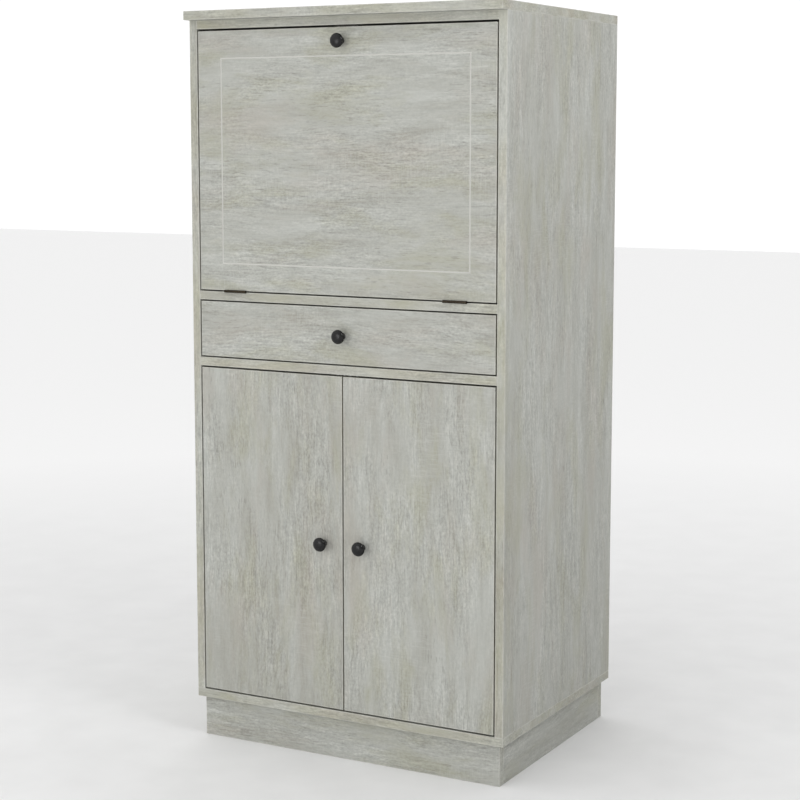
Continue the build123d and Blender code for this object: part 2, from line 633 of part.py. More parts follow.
ROLLERS = {
    "runner_rollers_front": (FRONT_ROLLER_Y, FRONT_ROLLER_Z, FRONT_ROLLER_R),
    "runner_rollers_rear": (REAR_ROLLER_Y, REAR_ROLLER_Z, REAR_ROLLER_R),
}
for name, (depth, z, radius) in ROLLERS.items():
    with BuildPart() as rollers:
        for sign in SIDES.values():
            ends = [(inward(sign, distance), depth, z) for distance in ROLLER_X]
            bar(*ends, radius)
        fillet(rollers.edges(), ROLLER_ROUND)
        for sign in SIDES.values():
            ends = [(inward(sign, distance), depth, z) for distance in ROLLER_X]
            bar(*ends, ROLLER_AXLE_R + RUNNING_GAP, Mode.SUBTRACT)
    save(rollers, name)


# ---- Doors, their cup hinges and catch ----

for side, sign in SIDES.items():
    knob_x = sign * DOOR_KNOB_X
    cup_x = inward(sign, CUP_FROM_SIDE)
    with BuildPart() as door_panel:
        board((sign * DOOR_CENTRE_GAP / 2, sign * FRONT_HALF), (0, BOARD), DOOR_Z)
        knob_hole(knob_x, DOOR_KNOB_Z)
        for z in CUP_Z:
            bar((cup_x, BOARD - CUP_DEPTH, z), (cup_x, BOARD, z), CUP_R, Mode.SUBTRACT)
    save(door_panel, f"door_panel_{side}")

    pin_x = inward(sign, DOOR_PIVOT[0])
    with BuildPart() as hinge_cups:
        for z in CUP_Z:
            bar((cup_x, BOARD - CUP_DEPTH, z), (cup_x, BOARD, z), CUP_R)
            flange = (BOARD, BOARD + CUP_FLANGE_SHEET)
            bar((cup_x, flange[0], z), (cup_x, flange[1], z), CUP_R + CUP_FLANGE)
            slab((cup_x - CUP_EAR[0], cup_x + CUP_EAR[0]), flange, (z - CUP_EAR[1], z + CUP_EAR[1]))
            inside = (BOARD - CUP_DEPTH + CUP_WALL, flange[1])
            bar((cup_x, inside[0], z), (cup_x, inside[1], z), CUP_R - CUP_WALL, Mode.SUBTRACT)
            pin = ((pin_x, DOOR_PIVOT[1], z - CUP_R), (pin_x, DOOR_PIVOT[1], z + CUP_R))
            bar(*pin, DOOR_PIN_R + RUNNING_GAP, Mode.SUBTRACT)
    save(hinge_cups, f"door_hinge_cups_{side}")

    crank = [DOOR_PIVOT, CRANK_OUT, CRANK_BACK, CRANK_IN]
    with BuildPart() as hinge_arms:
        for z in CUP_Z:
            with BuildSketch(Plane.XY.offset(z - CRANK_HALF)):
                with BuildLine():
                    Polyline(*[(inward(sign, distance), at(depth)) for distance, depth in crank])
                trace(line_width=CRANK_SHEET)
                with Locations((pin_x, at(DOOR_PIVOT[1]))):
                    Circle(DOOR_PIN_R + CRANK_EYE)
                    Circle(DOOR_PIN_R, mode=Mode.SUBTRACT)
            extrude(amount=2 * CRANK_HALF)
            slab(reach(sign, ARM_X), ARM_DEPTH, (z - ARM_HALF, z + ARM_HALF))
    save(hinge_arms, f"door_hinge_arms_{side}")

with BuildPart() as door_hinge_plates:
    for sign in SIDES.values():
        for z in CUP_Z:
            for thickness, front, rear, half in (PLATE_RISER, PLATE_WING):
                slab(reach(sign, (0, thickness)), (front, rear), (z - half, z + half))
save(door_hinge_plates, "door_hinge_plates")

PIN_OUTER_EDGE = CUP_FROM_SIDE - DOOR_PIVOT[0] + DOOR_PIN_R
PIN_HALF = math.sqrt((CUP_R - DOOR_PIN_SHORT) ** 2 - PIN_OUTER_EDGE**2)
with BuildPart() as door_hinge_pins:
    for sign in SIDES.values():
        for z in CUP_Z:
            place = (inward(sign, DOOR_PIVOT[0]), DOOR_PIVOT[1])
            bar((*place, z - PIN_HALF), (*place, z + PIN_HALF), DOOR_PIN_R)
save(door_hinge_pins, "door_hinge_pins")

with BuildPart() as door_catch:
    catch(DOOR_CATCH, DIVIDER_Z)
save(door_catch, "door_catch")

for side, sign in SIDES.items():
    with BuildPart() as strike:
        strike_x = (sign * DOOR_STRIKE_X[0], sign * DOOR_STRIKE_X[1])
        strike_top = DOOR_Z[1] - STRIKE_DROP
        slab(strike_x, (BOARD, BOARD + STRIKE_SHEET), (strike_top - DOOR_STRIKE_HEIGHT, strike_top))
        fillet(strike.edges().filter_by(Axis.Y), CATCH_ROUND)
    save(strike, f"door_strike_{side}")
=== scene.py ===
import json
import math

import bmesh
import bpy
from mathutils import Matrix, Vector


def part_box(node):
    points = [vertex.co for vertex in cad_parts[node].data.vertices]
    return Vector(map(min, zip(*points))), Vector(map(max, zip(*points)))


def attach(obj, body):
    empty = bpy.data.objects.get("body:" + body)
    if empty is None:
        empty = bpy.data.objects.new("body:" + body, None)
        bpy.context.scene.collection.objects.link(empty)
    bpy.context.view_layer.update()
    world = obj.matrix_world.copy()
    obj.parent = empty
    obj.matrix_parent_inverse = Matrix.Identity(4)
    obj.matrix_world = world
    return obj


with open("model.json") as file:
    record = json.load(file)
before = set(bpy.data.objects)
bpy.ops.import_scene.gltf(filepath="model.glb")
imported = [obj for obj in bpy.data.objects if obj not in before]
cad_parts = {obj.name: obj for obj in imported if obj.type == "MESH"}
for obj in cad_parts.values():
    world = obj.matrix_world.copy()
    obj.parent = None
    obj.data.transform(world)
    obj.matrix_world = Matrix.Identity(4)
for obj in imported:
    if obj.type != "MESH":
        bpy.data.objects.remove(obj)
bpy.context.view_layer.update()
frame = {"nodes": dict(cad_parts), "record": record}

# A secretary desk in washed grey laminate. Metres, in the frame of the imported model: -Y is the front.
SLOT_OF = {part["node"]: part["material_slot"] for part in frame["record"]["subparts"]}
MM = 0.001
SIDES = {"left": -1, "right": 1}


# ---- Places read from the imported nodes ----

def low(node):
    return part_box(node)[0]


def high(node):
    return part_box(node)[1]


def middle(node):
    return (low(node) + high(node)) / 2


FRONT_Y = low("desk_shelf").y
INNER_X = high("desk_shelf").x


# ---- Camera, light and floor ----

CAMERA_PLACE = Vector((1.5585, FRONT_Y - 2.6467, 1.0573))
CAMERA_YAW = 28.7
CAMERA_PITCH = 6.95
CAMERA_LENS = 83.6
CAMERA_SHIFT = -0.045
SKY_STRENGTH = 1.06
# Each softbox: place, target, size and watts.
SOFTBOXES = {
    "key": ((-1.6, -2.6, 3.0), (0, 0, 0.8), 1.6, 1.5),
    "low_fill": ((-0.7, -3.0, 0.8), (0, 0, 0.35), 1.2, 12.0),
    "side_fill": ((2.0, -0.7, 2.3), (0.3, 0, 1.1), 0.9, 16.0),
}
FLOOR_REACH = 14.0
# Near the desk the floor is painted darker, a painted shade like a soft contact shadow that also cuts the
# light bounced onto the lower sides.
FLOOR_SHADE_TONES = ((0.78, 0.78, 0.78), (0.82, 0.82, 0.82))
FLOOR_WHITE = (1.0, 1.0, 1.0)
# The floor's tone runs from the darker near tones, a painted shade around the desk like a soft contact
# shadow, to white between these distances from the middle.
FLOOR_FADE = (0.5, 3.0)
# The sky loses this much of its strength towards the right (from one X of the direction to the other)
# and upwards (from one Z to the other), so the right side is in a softer light than the front.
SKY_LOSS = 0.78
SKY_LOSS_X = (0.05, 0.80)
SKY_LOSS_Z = (0.06, 0.26)


def add_camera():
    """The viewing angle: from the front, to the right of it, looking slightly down."""
    data = bpy.data.cameras.new("camera")
    data.sensor_width = 36.0
    data.lens = CAMERA_LENS
    data.shift_y = CAMERA_SHIFT
    data.clip_end = 100.0
    camera = bpy.data.objects.new("camera", data)
    bpy.context.scene.collection.objects.link(camera)
    camera.location = CAMERA_PLACE
    camera.rotation_euler = (math.radians(90 - CAMERA_PITCH), 0, math.radians(CAMERA_YAW))
    bpy.context.scene.camera = camera


def add_softbox(name, place, target, size, watts):
    """A square area light that faces a target."""
    data = bpy.data.lights.new(name, "AREA")
    data.size = size
    data.energy = watts
    lamp = bpy.data.objects.new(name, data)
    bpy.context.scene.collection.objects.link(lamp)
    lamp.location = place
    lamp.rotation_euler = (Vector(target) - Vector(place)).to_track_quat("-Z", "Y").to_euler()


def add_sky():
    """White surroundings that are dimmer high up on the right, where the side panel faces."""
    world = bpy.data.worlds.new("studio")
    world.use_nodes = True
    tree = world.node_tree

    def calculate(kind, *values, **settings):
        node = tree.nodes.new(kind)
        for name, value in settings.items():
            setattr(node, name, value)
        for index, value in enumerate(values):
            if isinstance(value, bpy.types.NodeSocket):
                tree.links.new(value, node.inputs[index])
            else:
                node.inputs[index].default_value = value
        return node.outputs[0]

    coordinates = tree.nodes.new("ShaderNodeTexCoord").outputs["Generated"]
    direction = tree.nodes.new("ShaderNodeSeparateXYZ")
    tree.links.new(coordinates, direction.inputs[0])
    rightwards = calculate("ShaderNodeMapRange", direction.outputs["X"], *SKY_LOSS_X, 0.0, SKY_LOSS)
    upwards = calculate("ShaderNodeMapRange", direction.outputs["Z"], *SKY_LOSS_Z, 0.0, 1.0)
    loss = calculate("ShaderNodeMath", rightwards, upwards, operation="MULTIPLY")
    strength = calculate("ShaderNodeMath", SKY_STRENGTH, loss, operation="SUBTRACT")
    background = tree.nodes["Background"]
    background.inputs["Color"].default_value = (1.0, 1.0, 1.0, 1.0)
    tree.links.new(strength, background.inputs["Strength"])
    bpy.context.scene.world = world


def add_floor():
    """A pale paper floor with painted shade around the desk, like a soft contact shadow, that runs out to
    white.
    """
    mesh = bpy.data.meshes.new("floor")
    corners = [(x * FLOOR_REACH, y * FLOOR_REACH, 0) for x, y in ((-1, -1), (1, -1), (1, 1), (-1, 1))]
    mesh.from_pydata(corners, [], [(0, 1, 2, 3)])
    floor = bpy.data.objects.new("floor", mesh)
    bpy.context.scene.collection.objects.link(floor)
    paper = Shader("floor_paper", roughness=0.9)
    grain = paper.noise(paper.object_space(), (9, 9, 9), detail=3)
    # The darker floor tones near the desk are painted shade.
    shaded_near = paper.ramp(grain, [(0.3, FLOOR_SHADE_TONES[0]), (0.7, FLOOR_SHADE_TONES[1])])
    measure = paper.node("ShaderNodeVectorMath", {0: paper.object_space()}, operation="LENGTH")
    fade = paper.scale(measure.outputs["Value"], *FLOOR_FADE)
    paper.link(paper.mix(fade, shaded_near, FLOOR_WHITE), "Base Color")
    mesh.materials.append(paper.material)


def add_studio():
    """The sky, the softboxes and the floor."""
    bpy.context.scene.view_settings.view_transform = "Standard"
    add_sky()
    for name, (place, target, size, watts) in SOFTBOXES.items():
        add_softbox(name, place, target, size, watts)
    add_floor()


# ---- Shader helper ----

SOCKETS = {"roughness": "Roughness", "metallic": "Metallic", "specular_ior_level": "Specular IOR Level"}


class Shader:
    """A Principled material built node by node."""

    def __init__(self, name, **sockets):
        self.material = bpy.data.materials.new(name)
        self.material.use_nodes = True
        self.tree = self.material.node_tree
        self.surface = self.tree.nodes["Principled BSDF"]
        for socket, value in sockets.items():
            self.surface.inputs[SOCKETS[socket]].default_value = value

    def node(self, kind, inputs=(), **settings):
        made = self.tree.nodes.new(kind)
        for name, value in settings.items():
            setattr(made, name, value)
        for key, value in dict(inputs).items():
            self.feed(made.inputs[key], value)
        return made

    def feed(self, socket, value):
        if isinstance(value, bpy.types.NodeSocket):
            self.tree.links.new(value, socket)
        else:
            socket.default_value = value

    def link(self, output, socket):
        self.tree.links.new(output, self.surface.inputs[socket])

    def object_space(self):
        return self.node("ShaderNodeTexCoord").outputs["Object"]

    def split(self, vector):
        return self.node("ShaderNodeSeparateXYZ", {0: vector}).outputs

    def join(self, x, y, z):
        return self.node("ShaderNodeCombineXYZ", {0: x, 1: y, 2: z}).outputs[0]

    def vector(self, operation, a, b=None):
        inputs = {0: a} if b is None else {0: a, 1: b}
        return self.node("ShaderNodeVectorMath", inputs, operation=operation).outputs[0]

    def math(self, operation, a, b=None, clamp=False):
        inputs = {0: a} if b is None else {0: a, 1: b}
        return self.node("ShaderNodeMath", inputs, operation=operation, use_clamp=clamp).outputs[0]

    def scale(self, value, low_in, high_in, low_out=0.0, high_out=1.0):
        inputs = {0: value, 1: low_in, 2: high_in, 3: low_out, 4: high_out}
        return self.node("ShaderNodeMapRange", inputs, clamp=True).outputs[0]

    def noise(self, space, per_metre, detail=4.0, roughness=0.5, distortion=0.0):
        stretched = self.vector("MULTIPLY", space, per_metre)
        inputs = {"Vector": stretched, "Scale": 1.0, "Detail": detail}
        inputs.update({"Roughness": roughness, "Distortion": distortion})
        return self.node("ShaderNodeTexNoise", inputs).outputs["Fac"]

    def ramp(self, value, stops):
        made = self.node("ShaderNodeValToRGB", {0: value})
        elements = made.color_ramp.elements
        for element, (place, colour) in zip(elements, stops):
            element.position = place
            element.color = (*colour, 1.0)
        for place, colour in stops[2:]:
            elements.new(place).color = (*colour, 1.0)
        return made.outputs[0]

    def mix(self, factor, a, b, blend="MIX"):
        made = self.node("ShaderNodeMix", data_type="RGBA", blend_type=blend)
        for index, value in ((0, factor), (6, a), (7, b)):
            if isinstance(value, tuple) and len(value) == 3:
                value = (*value, 1.0)
            self.feed(made.inputs[index], value)
        return made.outputs[2]

    def grey(self, value):
        """A colour with the same value in every channel."""
        return self.node("ShaderNodeCombineColor", {0: value, 1: value, 2: value}).outputs[0]

    def bump(self, height, distance, strength=1.0):
        made = self.node("ShaderNodeBump", {"Height": height, "Distance": distance, "Strength": strength})
        self.link(made.outputs[0], "Normal")


# ---- Washed grey laminate ----

GRAIN_ORDER = {"X": (1, 2, 0), "Y": (2, 0, 1), "Z": (0, 1, 2)}
WORN_WOOD = (0.352, 0.350, 0.312)
GREY_WASH = (0.398, 0.402, 0.368)
WHITE_WASH = (0.444, 0.452, 0.420)
PINK_TINT = (0.385, 0.350, 0.300)
OLIVE_TINT = (0.366, 0.364, 0.292)
PORE = (0.17, 0.165, 0.145)
CHATTER = (0.56, 0.57, 0.54)
# Painted highlight along the arrises, where the edges catch the light.
ARRIS_HIGHLIGHT = (0.60, 0.60, 0.56)
BAND_TINT = (1.0, 0.985, 0.915)
# A painted highlight in the flap's groove, where its faces would catch the light.
GROOVE_HIGHLIGHT = (0.61, 0.61, 0.575)


# Every layer of noise: how many features to a metre (across, across and along the grain), and its kind.
WAVINESS = {"per_metre": (3, 3, 2.2), "detail": 2}
WASH = {"per_metre": (30, 30, 5.0), "detail": 9, "roughness": 0.70, "distortion": 0.25}
BROAD = {"per_metre": (7, 7, 1.6), "detail": 3, "roughness": 0.5}
SHADE_STRENGTH = {"per_metre": (15, 15, 6), "detail": 3}
CHATTER_ZONE = {"per_metre": (9, 9, 6), "detail": 2}
CHATTER_LINES = {"per_metre": (45, 45, 460), "detail": 2, "roughness": 0.6}
PORE_ZONE = {"per_metre": (16, 16, 4), "detail": 2}
PORES = {"per_metre": (430, 430, 62), "detail": 2, "roughness": 0.4}
CHECK_ZONE = {"per_metre": (8, 8, 3), "detail": 1}
CHECKS = {"per_metre": (230, 230, 7), "detail": 2, "roughness": 0.5}
BAND_PATCHES = {"per_metre": (20, 20, 9), "detail": 4}
# Patches of the painted highlight along the arrises.
ARRIS_HIGHLIGHT_PATCHES = {"per_metre": (45, 45, 45), "detail": 3}
# Tinted patches: features to a metre, colour and the most they cover.
TINT_PATCHES = (((13, 13, 3.6), PINK_TINT, 0.42), ((19, 19, 5.5), OLIVE_TINT, 0.75))
# Fine shading: features to a metre, detail, and the darkest and lightest factor. The last is the fibre.
FINE_LAYERS = (
    ((120, 120, 7), 4, 0.95, 1.05),
    ((310, 310, 34), 4, 0.79, 1.18),
    ((330, 330, 190), 3, 0.82, 1.16),
    ((900, 900, 45), 3, 0.93, 1.06),
)
SWAY = 0.035
WASH_SHARE = 0.75
PORE_COVER = 0.34
CHECK_COVER = 0.30
# Distances in metres over which each finish at an edge begins or ends. Along the arrises and in the flap's
# groove, that finish is a painted highlight.
BAND_REACH = (0.5 * MM, 0.7 * MM)
ARRIS_HIGHLIGHT_REACH = (0.4 * MM, 1.8 * MM)
GROOVE_TOP = (0.1 * MM, 0.3 * MM)
GROOVE_FLOOR = (1.6 * MM, 2.0 * MM)
GROOVE_INSET = (20 * MM, 21 * MM)


def edge_distances(shader, node):
    """Distance to the nearest arris, and to the nearest of the board's four narrow faces."""
    centre = tuple(middle(node))
    half = (high(node) - low(node)) / 2
    offset = shader.vector("SUBTRACT", shader.object_space(), centre)
    inside = shader.vector("SUBTRACT", tuple(half), shader.vector("ABSOLUTE", offset))
    distances = list(shader.split(inside))
    a, b, c = distances
    arris = shader.math(
        "MAXIMUM",
        shader.math("MINIMUM", a, b),
        shader.math("MINIMUM", shader.math("MAXIMUM", a, b), c),
    )
    thickness = min(range(3), key=lambda axis: half[axis])
    del distances[thickness]
    narrow = shader.math("MINIMUM", *distances)
    return arris, narrow


def in_groove(shader, narrow):
    """Where the flap's groove lies, which gets a painted highlight: just behind the front face and away from
    the edges.
    """
    depth = shader.math("SUBTRACT", shader.split(shader.object_space())[1], FRONT_Y)
    below_face = shader.scale(depth, *GROOVE_TOP)
    above_floor = shader.scale(depth, *GROOVE_FLOOR, 1.0, 0.0)
    cut = shader.math("MULTIPLY", below_face, above_floor)
    return shader.math("MULTIPLY", cut, shader.scale(narrow, *GROOVE_INSET))


def along_grain(shader, grain, offset):
    """Object space turned so that Z runs along the grain, and moved so that no two boards match."""
    parts = shader.split(shader.object_space())
    turned = shader.join(*[parts[axis] for axis in GRAIN_ORDER[grain]])
    return shader.vector("ADD", turned, offset)


def washed_print(shader, space, wash):
    """Large: the uneven wash over the worn print, and its faint pink-brown and olive patches."""
    broad = shader.noise(space, **BROAD)
    wash_part = shader.math("MULTIPLY", wash, WASH_SHARE)
    cover = shader.math("ADD", wash_part, shader.math("MULTIPLY", broad, 1 - WASH_SHARE))
    colour = shader.ramp(cover, [(0.37, WORN_WOOD), (0.47, GREY_WASH), (0.59, WHITE_WASH)])
    for per_metre, tint, most in TINT_PATCHES:
        patch = shader.noise(space, per_metre, detail=6, roughness=0.65, distortion=0.3)
        colour = shader.mix(shader.scale(patch, 0.50, 0.66, 0.0, most), colour, tint)
    return colour


def shaded(shader, space, colour):
    """Fine: streaks, short flecks and the fibre, which shade the print more in some places than others."""
    strength = shader.scale(shader.noise(space, **SHADE_STRENGTH), 0.38, 0.60, 0.25, 1.0)
    for per_metre, detail, darkest, lightest in FINE_LAYERS:
        fibre = shader.noise(space, per_metre, detail=detail, roughness=0.62)
        shade = shader.grey(shader.scale(fibre, 0.3, 0.7, darkest, lightest))
        colour = shader.mix(strength, colour, shade, "MULTIPLY")
    return colour, fibre


def chattered(shader, space, colour):
    """Cross-grain chatter in patches, as a saw leaves it."""
    zone = shader.scale(shader.noise(space, **CHATTER_ZONE), 0.50, 0.64)
    lines = shader.scale(shader.noise(space, **CHATTER_LINES), 0.50, 0.66, 0.0, 0.20)
    return shader.mix(shader.math("MULTIPLY", lines, zone), colour, CHATTER)


def pored(shader, space, colour):
    """Dark pores in clusters, and a few long checks."""
    zone = shader.scale(shader.noise(space, **PORE_ZONE), 0.44, 0.60)
    pores = shader.math("MULTIPLY", shader.scale(shader.noise(space, **PORES), 0.60, 0.68), zone)
    colour = shader.mix(shader.math("MULTIPLY", pores, PORE_COVER), colour, PORE)
    zone = shader.scale(shader.noise(space, **CHECK_ZONE), 0.52, 0.66)
    checks = shader.math("MULTIPLY", shader.scale(shader.noise(space, **CHECKS), 0.64, 0.71), zone)
    colour = shader.mix(shader.math("MULTIPLY", checks, CHECK_COVER), colour, PORE)
    return colour, shader.math("ADD", pores, checks)


def edged(shader, space, colour, arris, narrow):
    """The tinted edge banding, and a painted highlight in patches along the arrises."""
    patches = shader.scale(shader.noise(space, **BAND_PATCHES), 0.40, 0.60, 0.25, 1.0)
    band = shader.math("MULTIPLY", shader.scale(narrow, *BAND_REACH, 1.0, 0.0), patches)
    colour = shader.mix(band, colour, shader.mix(1.0, colour, BAND_TINT, "MULTIPLY"))
    # A painted highlight in patches along the arrises, where the edges catch the light; 'worn' is this
    # highlight's mask.
    highlight_patches = shader.scale(shader.noise(space, **ARRIS_HIGHLIGHT_PATCHES), 0.40, 0.62, 0.20, 0.65)
    worn = shader.math("MULTIPLY", shader.scale(arris, *ARRIS_HIGHLIGHT_REACH, 1.0, 0.0), highlight_patches)
    return shader.mix(worn, colour, ARRIS_HIGHLIGHT)


def laminate(node, grain, seed):
    """Weathered oak print under a grey wash, with its edge banding, a painted highlight along the arrises
    and, on the flap, a painted highlight in the groove.
    """
    shader = Shader(f"laminate_{node}")
    space = along_grain(shader, grain, (seed * 1.37, seed * 2.11, seed * 0.73))
    waviness = shader.noise(space, **WAVINESS)
    sway = shader.math("MULTIPLY", shader.math("SUBTRACT", waviness, 0.5), SWAY)
    space = shader.vector("ADD", space, shader.join(sway, sway, 0.0))

    wash = shader.noise(space, **WASH)
    colour = washed_print(shader, space, wash)
    colour, fibre = shaded(shader, space, colour)
    colour = chattered(shader, space, colour)
    colour, hollows = pored(shader, space, colour)
    arris, narrow = edge_distances(shader, node)
    colour = edged(shader, space, colour, arris, narrow)
    # On the flap, a pale painted highlight fills the groove, where its faces would catch the light.
    if node == "flap_panel":
        colour = shader.mix(in_groove(shader, narrow), colour, GROOVE_HIGHLIGHT)

    shader.link(colour, "Base Color")
    shader.link(shader.scale(wash, 0.3, 0.7, 0.62, 0.46), "Roughness")
    shader.surface.inputs["Specular IOR Level"].default_value = 0.35
    relief = shader.math("SUBTRACT", shader.math("MULTIPLY", fibre, 0.6), hollows)
    shader.bump(relief, 0.12 * MM, 0.6)
    return shader.material


def hardboard(node, grain, seed):
    """Thin printed board with a paper-like sheen."""
    shader = Shader(f"hardboard_{node}")
    space = along_grain(shader, grain, (seed, seed * 1.7, seed * 0.4))
    tone = shader.noise(space, (30, 30, 4), detail=8, roughness=0.65)
    colour = shader.ramp(tone, [(0.32, (0.33, 0.325, 0.295)), (0.66, (0.43, 0.43, 0.40))])
    fleck = shader.noise(space, (900, 900, 260), detail=3)
    colour = shader.mix(1.0, colour, shader.grey(shader.scale(fleck, 0.3, 0.7, 0.93, 1.05)), "MULTIPLY")
    shader.link(colour, "Base Color")
    shader.link(shader.scale(fleck, 0.3, 0.7, 0.70, 0.58), "Roughness")
    shader.bump(fleck, 0.00006, 0.5)
    return shader.material


def softwood(node):
    """Sawn pine for the blocks that nobody sees."""
    shader = Shader(f"softwood_{node}")
    space = shader.object_space()
    rings = shader.noise(space, (60, 60, 5), detail=6, roughness=0.6, distortion=0.6)
    colour = shader.ramp(rings, [(0.35, (0.44, 0.28, 0.14)), (0.62, (0.66, 0.48, 0.29))])
    fibre = shader.noise(space, (800, 800, 30), detail=3)
    colour = shader.mix(1.0, colour, shader.grey(shader.scale(fibre, 0.3, 0.7, 0.88, 1.06)), "MULTIPLY")
    shader.link(colour, "Base Color")
    shader.link(shader.scale(fibre, 0.3, 0.7, 0.8, 0.62), "Roughness")
    shader.bump(fibre, 0.0002, 0.7)
    return shader.material


# ---- Metals and plastics ----

def speckled(name, dark, light, rough, per_metre, bump, **sockets):
    """A finish whose colour, gloss and relief all follow one fine mottle and one broad smear."""
    shader = Shader(name, **sockets)
    space = shader.object_space()
    fine = shader.noise(space, per_metre, detail=5, roughness=0.6)
    smear = shader.noise(space, (38, 38, 38), detail=3, roughness=0.55)
    blend = shader.math("ADD", shader.math("MULTIPLY", fine, 0.55), shader.math("MULTIPLY", smear, 0.45))
    shader.link(shader.ramp(blend, [(0.34, dark), (0.66, light)]), "Base Color")
    shader.link(shader.scale(smear, 0.3, 0.7, rough[0], rough[1]), "Roughness")
    shader.bump(fine, bump, 0.6)
    return shader.material


FINISHES = {
    "knob_black": lambda: speckled(
        "knob_black", (0.003, 0.003, 0.003), (0.008, 0.008, 0.008), (0.16, 0.26), (700, 700, 700), 0.00002,
        metallic=0.0, specular_ior_level=0.32,
    ),
    "hinge_bronze": lambda: speckled(
        "hinge_bronze", (0.010, 0.008, 0.006), (0.062, 0.048, 0.031), (0.34, 0.55), (900, 900, 900), 0.00004,
        metallic=0.85,
    ),
    "hinge_steel": lambda: speckled(
        "hinge_steel", (0.50, 0.50, 0.49), (0.66, 0.66, 0.65), (0.20, 0.34), (260, 260, 1400), 0.00002,
        metallic=1.0,
    ),
    "zinc_steel": lambda: speckled(
        "zinc_steel", (0.40, 0.41, 0.42), (0.62, 0.63, 0.64), (0.28, 0.46), (420, 900, 900), 0.00003,
        metallic=1.0,
    ),
    "catch_plastic": lambda: speckled(
        "catch_plastic", (0.060, 0.052, 0.044), (0.105, 0.092, 0.078), (0.46, 0.62), (1500, 1500, 1500),
        0.00004, metallic=0.0,
    ),
    "runner_white": lambda: speckled(
        "runner_white", (0.64, 0.64, 0.61), (0.74, 0.74, 0.71), (0.34, 0.50), (1300, 1300, 1300), 0.00003,
        metallic=0.0,
    ),
    "roller_nylon": lambda: speckled(
        "roller_nylon", (0.62, 0.61, 0.56), (0.76, 0.75, 0.70), (0.36, 0.52), (800, 800, 800), 0.00002,
        metallic=0.0,
    ),
}

GRAIN_OF = {
    "side_panel_left": "Z",
    "side_panel_right": "Z",
    "door_panel_left": "Z",
    "door_panel_right": "Z",
    "organizer_dividers": "Z",
    "back_panel": "Z",
    "plinth_side_left": "Y",
    "plinth_side_right": "Y",
    "drawer_side_left": "Y",
    "drawer_side_right": "Y",
}


def dress_nodes():
    """Give every CAD node its finish."""
    shared = {slot: make() for slot, make in FINISHES.items()}
    for index, (node, piece) in enumerate(sorted(frame["nodes"].items())):
        slot = SLOT_OF[node]
        grain = GRAIN_OF.get(node, "X")
        if slot == "laminate":
            material = laminate(node, grain, index + 1)
        elif slot == "hardboard":
            material = hardboard(node, grain, index + 1)
        elif slot == "softwood":
            material = softwood(node)
        else:
            material = shared[slot]
        piece.data.materials.clear()
        piece.data.materials.append(material)
    return shared


# ---- Small hardware ----

INTO_DESK = (0, 1, 0)
# A pan head's outline, as shares of its radius and height.
PAN_HEAD = ((1.0, 0.0), (1.0, 0.35), (0.86, 0.72), (0.52, 0.96), (0.0, 1.0))
# Each screw's head: radius and height.
PLATE_SCREW = (3.6 * MM, 1.7 * MM)
CUP_SCREW = (3.0 * MM, 1.5 * MM)
DOOR_STRIKE_SCREW = (2.6 * MM, 0.9 * MM)
RUNNER_SCREW = (3.0 * MM, 1.1 * MM)
BRACKET_SCREW = (3.2 * MM, 1.5 * MM)
FLAP_STRIKE_SCREW = (2.4 * MM, 0.4 * MM)
HINGE_ROW_INSET = 24 * MM
PLATE_THICKNESS = 2.5 * MM
PLATE_SCREW_SETBACK = 2 * MM
PLATE_SCREW_RISE = 18 * MM
CUP_SCREW_RISE = 23.6 * MM
RUNNER_THICKNESS = 1.2 * MM
RUNNER_SCREW_PARTS = (0.16, 0.52, 0.88)
BRACKET_THICKNESS = 2 * MM
BRACKET_SCREW_X = 262 * MM
BRACKET_SCREW_RISE = 13 * MM
FLAP_STRIKE_OFFSET = 9 * MM
BACK_SCREWS_IN_ROW = 4
BACK_SCREW_RADIUS = 3.2 * MM
BACK_RECESS_RISE = 0.2 * MM
# The poles of each catch, in millimetres from the middle.
CATCH_POLES = {"flap_catch": (-14, 14), "door_catch": (-19, -6, 6, 19)}
POLE_HALF_WIDTH = 2 * MM
POLE_HALF_HEIGHT = 4 * MM
POLE_PROUD = 0.35 * MM
POLE_DEPTH = 0.8 * MM
POLE_EASE = 0.25 * MM


def new_piece(name, mesh_maker, body, materials):
    """Build a mesh with bmesh, give it its materials and let it ride on a body."""
    mesh = bpy.data.meshes.new(name)
    work = bmesh.new()
    mesh_maker(work)
    bmesh.ops.recalc_face_normals(work, faces=work.faces[:])
    work.to_mesh(mesh)
    work.free()
    for material in materials:
        mesh.materials.append(material)
    piece = bpy.data.objects.new(name, mesh)
    bpy.context.scene.collection.objects.link(piece)
    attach(piece, body)
    return piece


def lathe(work, place, normal, profile, segments=28):
    """Turn a profile of (radius, height) about an axis through a place."""
    turn = Vector(normal).to_track_quat("Z", "Y")
    rings = []
    for radius, rise in profile:
        if radius == 0:
            rings.append([work.verts.new(Vector(place) + turn @ Vector((0, 0, rise)))])
            continue
        ring = []
        for step in range(segments):
            angle = 2 * math.pi * step / segments
            point = Vector((radius * math.cos(angle), radius * math.sin(angle), rise))
            ring.append(work.verts.new(Vector(place) + turn @ point))
        rings.append(ring)
    for below, above in zip(rings, rings[1:]):
        for step in range(segments):
            after = (step + 1) % segments
            if len(above) == 1:
                face = work.faces.new((below[step], below[after], above[0]))
            elif len(below) == 1:
                face = work.faces.new((below[0], above[after], above[step]))
            else:
                face = work.faces.new((below[step], below[after], above[after], above[step]))
            face.smooth = True


